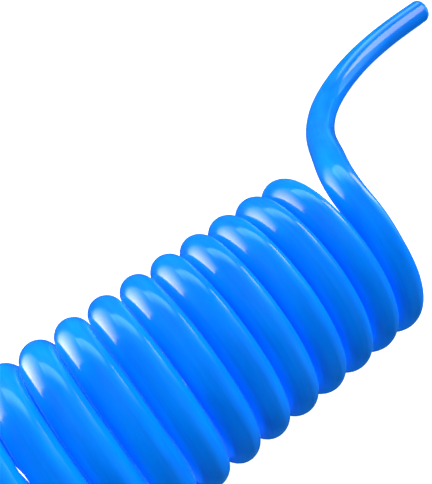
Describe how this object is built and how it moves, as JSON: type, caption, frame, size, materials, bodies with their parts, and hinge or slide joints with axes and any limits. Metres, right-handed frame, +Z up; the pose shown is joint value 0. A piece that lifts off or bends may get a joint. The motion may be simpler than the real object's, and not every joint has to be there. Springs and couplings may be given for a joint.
{
  "type": "coiled air hose",
  "caption": "Recoil air hose: a close left-hand spiral of glossy blue polyurethane tube that pulls out and springs back, with a plain straight-cut tail at each end.",
  "frame": {"origin": "on the surface the hose lies on, under the middle of its box", "axes": "+X along the coil's axis towards the loose tail's cut end, +Y from the coil towards the side both tails lie on, +Z up"},
  "size_m": [0.3274, 0.0929, 0.0468],
  "materials": {
    "tube": "glossy, slightly translucent blue polyurethane"
  },
  "bodies": {
    "loose_tail": {"loose_tail": "tube"},
    "turn_01_bottom": {"turn_01_bottom": "tube"},
    "turn_01_top": {"turn_01_top": "tube"},
    "turn_02_bottom": {"turn_02_bottom": "tube"},
    "turn_02_top": {"turn_02_top": "tube"},
    "turn_03_bottom": {"turn_03_bottom": "tube"},
    "turn_03_top": {"turn_03_top": "tube"},
    "turn_04_bottom": {"turn_04_bottom": "tube"},
    "turn_04_top": {"turn_04_top": "tube"},
    "turn_05_bottom": {"turn_05_bottom": "tube"},
    "turn_05_top": {"turn_05_top": "tube"},
    "turn_06_bottom": {"turn_06_bottom": "tube"},
    "turn_06_top": {"turn_06_top": "tube"},
    "turn_07_bottom": {"turn_07_bottom": "tube"},
    "turn_07_top": {"turn_07_top": "tube"},
    "turn_08_bottom": {"turn_08_bottom": "tube"},
    "turn_08_top": {"turn_08_top": "tube"},
    "turn_09_bottom": {"turn_09_bottom": "tube"},
    "turn_09_top": {"turn_09_top": "tube"},
    "turn_10_bottom": {"turn_10_bottom": "tube"},
    "turn_10_top": {"turn_10_top": "tube"},
    "turn_11_bottom": {"turn_11_bottom": "tube"},
    "turn_11_top": {"turn_11_top": "tube"},
    "turn_12_bottom": {"turn_12_bottom": "tube"},
    "turn_12_top": {"turn_12_top": "tube"},
    "turn_13_bottom": {"turn_13_bottom": "tube"},
    "turn_13_top": {"turn_13_top": "tube"},
    "turn_14_bottom": {"turn_14_bottom": "tube"},
    "turn_14_top": {"turn_14_top": "tube"},
    "turn_15_bottom": {"turn_15_bottom": "tube"},
    "turn_15_top": {"turn_15_top": "tube"},
    "turn_16_bottom": {"turn_16_bottom": "tube"},
    "turn_16_top": {"turn_16_top": "tube"},
    "turn_17_bottom": {"turn_17_bottom": "tube"},
    "turn_17_top": {"turn_17_top": "tube"},
    "far_tail": {"far_tail": "tube"}
  },
  "joints": [
    {"name": "twist_01", "type": "hinge", "parent": "loose_tail", "child": "turn_01_bottom", "pos_m": [0.05298, -0.0425, 0.0234], "axis": [0, 0, 1], "range_deg": [0, 20], "stiffness_Nm_per_rad": 0.247},
    {"name": "twist_02", "type": "hinge", "parent": "turn_01_bottom", "child": "turn_01_top", "pos_m": [0.05037, -0.0037, 0.0234], "axis": [0, 0, -1], "range_deg": [0, 40], "stiffness_Nm_per_rad": 0.247},
    {"name": "twist_03", "type": "hinge", "parent": "turn_01_top", "child": "turn_02_bottom", "pos_m": [0.04453, -0.0425, 0.0234], "axis": [0, 0, 1], "range_deg": [0, 40], "stiffness_Nm_per_rad": 0.247},
    {"name": "twist_04", "type": "hinge", "parent": "turn_02_bottom", "child": "turn_02_top", "pos_m": [0.04192, -0.0037, 0.0234], "axis": [0, 0, -1], "range_deg": [0, 40], "stiffness_Nm_per_rad": 0.247},
    {"name": "twist_05", "type": "hinge", "parent": "turn_02_top", "child": "turn_03_bottom", "pos_m": [0.03608, -0.0425, 0.0234], "axis": [0, 0, 1], "range_deg": [0, 40], "stiffness_Nm_per_rad": 0.247},
    {"name": "twist_06", "type": "hinge", "parent": "turn_03_bottom", "child": "turn_03_top", "pos_m": [0.03347, -0.0037, 0.0234], "axis": [0, 0, -1], "range_deg": [0, 40], "stiffness_Nm_per_rad": 0.247},
    {"name": "twist_07", "type": "hinge", "parent": "turn_03_top", "child": "turn_04_bottom", "pos_m": [0.02763, -0.0425, 0.0234], "axis": [0, 0, 1], "range_deg": [0, 40], "stiffness_Nm_per_rad": 0.247},
    {"name": "twist_08", "type": "hinge", "parent": "turn_04_bottom", "child": "turn_04_top", "pos_m": [0.02502, -0.0037, 0.0234], "axis": [0, 0, -1], "range_deg": [0, 40], "stiffness_Nm_per_rad": 0.247},
    {"name": "twist_09", "type": "hinge", "parent": "turn_04_top", "child": "turn_05_bottom", "pos_m": [0.01918, -0.0425, 0.0234], "axis": [0, 0, 1], "range_deg": [0, 40], "stiffness_Nm_per_rad": 0.247},
    {"name": "twist_10", "type": "hinge", "parent": "turn_05_bottom", "child": "turn_05_top", "pos_m": [0.01657, -0.0037, 0.0234], "axis": [0, 0, -1], "range_deg": [0, 40], "stiffness_Nm_per_rad": 0.247},
    {"name": "twist_11", "type": "hinge", "parent": "turn_05_top", "child": "turn_06_bottom", "pos_m": [0.01073, -0.0425, 0.0234], "axis": [0, 0, 1], "range_deg": [0, 40], "stiffness_Nm_per_rad": 0.247},
    {"name": "twist_12", "type": "hinge", "parent": "turn_06_bottom", "child": "turn_06_top", "pos_m": [0.00812, -0.0037, 0.0234], "axis": [0, 0, -1], "range_deg": [0, 40], "stiffness_Nm_per_rad": 0.247},
    {"name": "twist_13", "type": "hinge", "parent": "turn_06_top", "child": "turn_07_bottom", "pos_m": [0.00228, -0.0425, 0.0234], "axis": [0, 0, 1], "range_deg": [0, 40], "stiffness_Nm_per_rad": 0.247},
    {"name": "twist_14", "type": "hinge", "parent": "turn_07_bottom", "child": "turn_07_top", "pos_m": [-0.00033, -0.0037, 0.0234], "axis": [0, 0, -1], "range_deg": [0, 40], "stiffness_Nm_per_rad": 0.247},
    {"name": "twist_15", "type": "hinge", "parent": "turn_07_top", "child": "turn_08_bottom", "pos_m": [-0.00617, -0.0425, 0.0234], "axis": [0, 0, 1], "range_deg": [0, 40], "stiffness_Nm_per_rad": 0.247},
    {"name": "twist_16", "type": "hinge", "parent": "turn_08_bottom", "child": "turn_08_top", "pos_m": [-0.00878, -0.0037, 0.0234], "axis": [0, 0, -1], "range_deg": [0, 40], "stiffness_Nm_per_rad": 0.247},
    {"name": "twist_17", "type": "hinge", "parent": "turn_08_top", "child": "turn_09_bottom", "pos_m": [-0.01462, -0.0425, 0.0234], "axis": [0, 0, 1], "range_deg": [0, 40], "stiffness_Nm_per_rad": 0.247},
    {"name": "twist_18", "type": "hinge", "parent": "turn_09_bottom", "child": "turn_09_top", "pos_m": [-0.01723, -0.0037, 0.0234], "axis": [0, 0, -1], "range_deg": [0, 40], "stiffness_Nm_per_rad": 0.247},
    {"name": "twist_19", "type": "hinge", "parent": "turn_09_top", "child": "turn_10_bottom", "pos_m": [-0.02307, -0.0425, 0.0234], "axis": [0, 0, 1], "range_deg": [0, 40], "stiffness_Nm_per_rad": 0.247},
    {"name": "twist_20", "type": "hinge", "parent": "turn_10_bottom", "child": "turn_10_top", "pos_m": [-0.02568, -0.0037, 0.0234], "axis": [0, 0, -1], "range_deg": [0, 40], "stiffness_Nm_per_rad": 0.247},
    {"name": "twist_21", "type": "hinge", "parent": "turn_10_top", "child": "turn_11_bottom", "pos_m": [-0.03152, -0.0425, 0.0234], "axis": [0, 0, 1], "range_deg": [0, 40], "stiffness_Nm_per_rad": 0.247},
    {"name": "twist_22", "type": "hinge", "parent": "turn_11_bottom", "child": "turn_11_top", "pos_m": [-0.03413, -0.0037, 0.0234], "axis": [0, 0, -1], "range_deg": [0, 40], "stiffness_Nm_per_rad": 0.247},
    {"name": "twist_23", "type": "hinge", "parent": "turn_11_top", "child": "turn_12_bottom", "pos_m": [-0.03997, -0.0425, 0.0234], "axis": [0, 0, 1], "range_deg": [0, 40], "stiffness_Nm_per_rad": 0.247},
    {"name": "twist_24", "type": "hinge", "parent": "turn_12_bottom", "child": "turn_12_top", "pos_m": [-0.04258, -0.0037, 0.0234], "axis": [0, 0, -1], "range_deg": [0, 40], "stiffness_Nm_per_rad": 0.247},
    {"name": "twist_25", "type": "hinge", "parent": "turn_12_top", "child": "turn_13_bottom", "pos_m": [-0.04842, -0.0425, 0.0234], "axis": [0, 0, 1], "range_deg": [0, 40], "stiffness_Nm_per_rad": 0.247},
    {"name": "twist_26", "type": "hinge", "parent": "turn_13_bottom", "child": "turn_13_top", "pos_m": [-0.05103, -0.0037, 0.0234], "axis": [0, 0, -1], "range_deg": [0, 40], "stiffness_Nm_per_rad": 0.247},
    {"name": "twist_27", "type": "hinge", "parent": "turn_13_top", "child": "turn_14_bottom", "pos_m": [-0.05687, -0.0425, 0.0234], "axis": [0, 0, 1], "range_deg": [0, 40], "stiffness_Nm_per_rad": 0.247},
    {"name": "twist_28", "type": "hinge", "parent": "turn_14_bottom", "child": "turn_14_top", "pos_m": [-0.05948, -0.0037, 0.0234], "axis": [0, 0, -1], "range_deg": [0, 40], "stiffness_Nm_per_rad": 0.247},
    {"name": "twist_29", "type": "hinge", "parent": "turn_14_top", "child": "turn_15_bottom", "pos_m": [-0.06532, -0.0425, 0.0234], "axis": [0, 0, 1], "range_deg": [0, 40], "stiffness_Nm_per_rad": 0.247},
    {"name": "twist_30", "type": "hinge", "parent": "turn_15_bottom", "child": "turn_15_top", "pos_m": [-0.06793, -0.0037, 0.0234], "axis": [0, 0, -1], "range_deg": [0, 40], "stiffness_Nm_per_rad": 0.247},
    {"name": "twist_31", "type": "hinge", "parent": "turn_15_top", "child": "turn_16_bottom", "pos_m": [-0.07377, -0.0425, 0.0234], "axis": [0, 0, 1], "range_deg": [0, 40], "stiffness_Nm_per_rad": 0.247},
    {"name": "twist_32", "type": "hinge", "parent": "turn_16_bottom", "child": "turn_16_top", "pos_m": [-0.07638, -0.0037, 0.0234], "axis": [0, 0, -1], "range_deg": [0, 40], "stiffness_Nm_per_rad": 0.247},
    {"name": "twist_33", "type": "hinge", "parent": "turn_16_top", "child": "turn_17_bottom", "pos_m": [-0.08222, -0.0425, 0.0234], "axis": [0, 0, 1], "range_deg": [0, 40], "stiffness_Nm_per_rad": 0.247},
    {"name": "twist_34", "type": "hinge", "parent": "turn_17_bottom", "child": "turn_17_top", "pos_m": [-0.08483, -0.0037, 0.0234], "axis": [0, 0, -1], "range_deg": [0, 40], "stiffness_Nm_per_rad": 0.247},
    {"name": "twist_35", "type": "hinge", "parent": "turn_17_top", "child": "far_tail", "pos_m": [-0.09067, -0.0425, 0.0234], "axis": [0, 0, 1], "range_deg": [0, 20], "stiffness_Nm_per_rad": 0.247}
  ],
  "couplings": [
    {"joint": "twist_02", "follows": "twist_01", "ratio": 2},
    {"joint": "twist_03", "follows": "twist_01", "ratio": 2},
    {"joint": "twist_04", "follows": "twist_01", "ratio": 2},
    {"joint": "twist_05", "follows": "twist_01", "ratio": 2},
    {"joint": "twist_06", "follows": "twist_01", "ratio": 2},
    {"joint": "twist_07", "follows": "twist_01", "ratio": 2},
    {"joint": "twist_08", "follows": "twist_01", "ratio": 2},
    {"joint": "twist_09", "follows": "twist_01", "ratio": 2},
    {"joint": "twist_10", "follows": "twist_01", "ratio": 2},
    {"joint": "twist_11", "follows": "twist_01", "ratio": 2},
    {"joint": "twist_12", "follows": "twist_01", "ratio": 2},
    {"joint": "twist_13", "follows": "twist_01", "ratio": 2},
    {"joint": "twist_14", "follows": "twist_01", "ratio": 2},
    {"joint": "twist_15", "follows": "twist_01", "ratio": 2},
    {"joint": "twist_16", "follows": "twist_01", "ratio": 2},
    {"joint": "twist_17", "follows": "twist_01", "ratio": 2},
    {"joint": "twist_18", "follows": "twist_01", "ratio": 2},
    {"joint": "twist_19", "follows": "twist_01", "ratio": 2},
    {"joint": "twist_20", "follows": "twist_01", "ratio": 2},
    {"joint": "twist_21", "follows": "twist_01", "ratio": 2},
    {"joint": "twist_22", "follows": "twist_01", "ratio": 2},
    {"joint": "twist_23", "follows": "twist_01", "ratio": 2},
    {"joint": "twist_24", "follows": "twist_01", "ratio": 2},
    {"joint": "twist_25", "follows": "twist_01", "ratio": 2},
    {"joint": "twist_26", "follows": "twist_01", "ratio": 2},
    {"joint": "twist_27", "follows": "twist_01", "ratio": 2},
    {"joint": "twist_28", "follows": "twist_01", "ratio": 2},
    {"joint": "twist_29", "follows": "twist_01", "ratio": 2},
    {"joint": "twist_30", "follows": "twist_01", "ratio": 2},
    {"joint": "twist_31", "follows": "twist_01", "ratio": 2},
    {"joint": "twist_32", "follows": "twist_01", "ratio": 2},
    {"joint": "twist_33", "follows": "twist_01", "ratio": 2},
    {"joint": "twist_34", "follows": "twist_01", "ratio": 2},
    {"joint": "twist_35", "follows": "twist_01", "ratio": 1}
  ]
}
